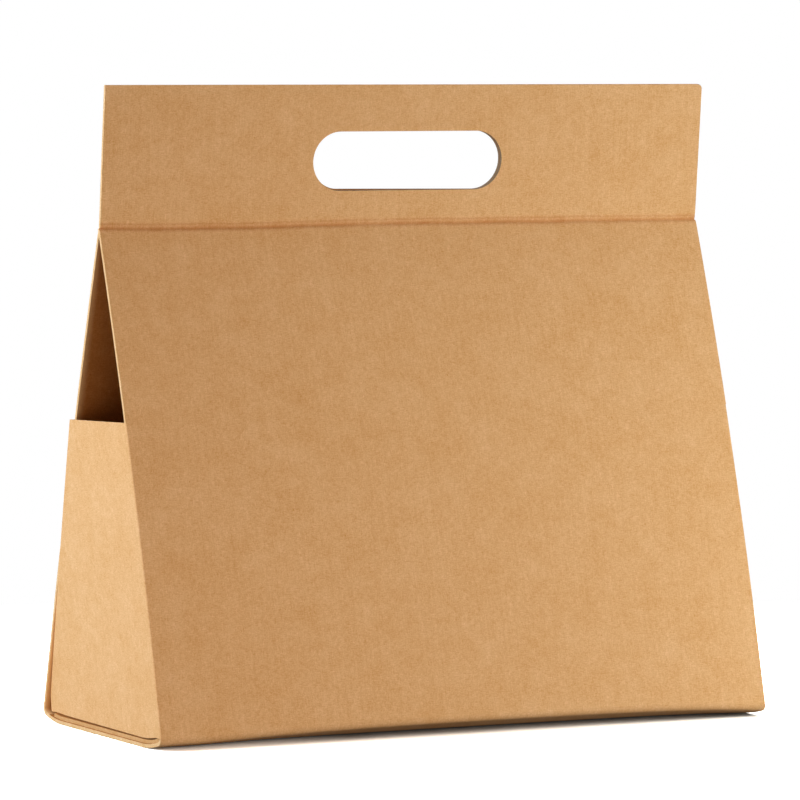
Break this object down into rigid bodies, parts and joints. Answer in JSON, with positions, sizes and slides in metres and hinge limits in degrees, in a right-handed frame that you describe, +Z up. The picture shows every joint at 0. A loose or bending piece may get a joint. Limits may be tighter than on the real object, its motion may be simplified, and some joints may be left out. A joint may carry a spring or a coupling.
{
  "type": "gift box with handle",
  "caption": "Tent-shaped kraft board box folded from one sheet, with two slotted handle boards that close face to face and half-height side walls.",
  "frame": {"origin": "centre of the base, on the surface that the box stands on", "axes": "+Z up, +X to the viewer's right along the box's width, +Y towards the back panel; the handle boards lean towards -Y"},
  "size_m": [0.3058, 0.137, 0.2888],
  "materials": {
    "kraft_board": "matt, uncoated"
  },
  "bodies": {
    "tray": {"folded_body": "kraft_board"},
    "lid": {"back_panel": "kraft_board"},
    "front_grip": {"front_handle": "kraft_board"},
    "back_grip": {"back_handle": "kraft_board"}
  },
  "joints": [
    {"name": "back_panel_opens", "type": "hinge", "parent": "tray", "child": "lid", "pos_m": [0, 0.06801, 0.00399], "axis": [-1, 0, 0], "range_deg": [0, 90]},
    {"name": "front_handle_folds", "type": "hinge", "parent": "tray", "child": "front_grip", "pos_m": [0, -0.00186, 0.2255], "axis": [1, 0, 0], "range_deg": [0, 90]},
    {"name": "back_handle_folds", "type": "hinge", "parent": "lid", "child": "back_grip", "pos_m": [0, 0.00186, 0.2255], "axis": [-1, 0, 0], "range_deg": [0, 90]}
  ]
}
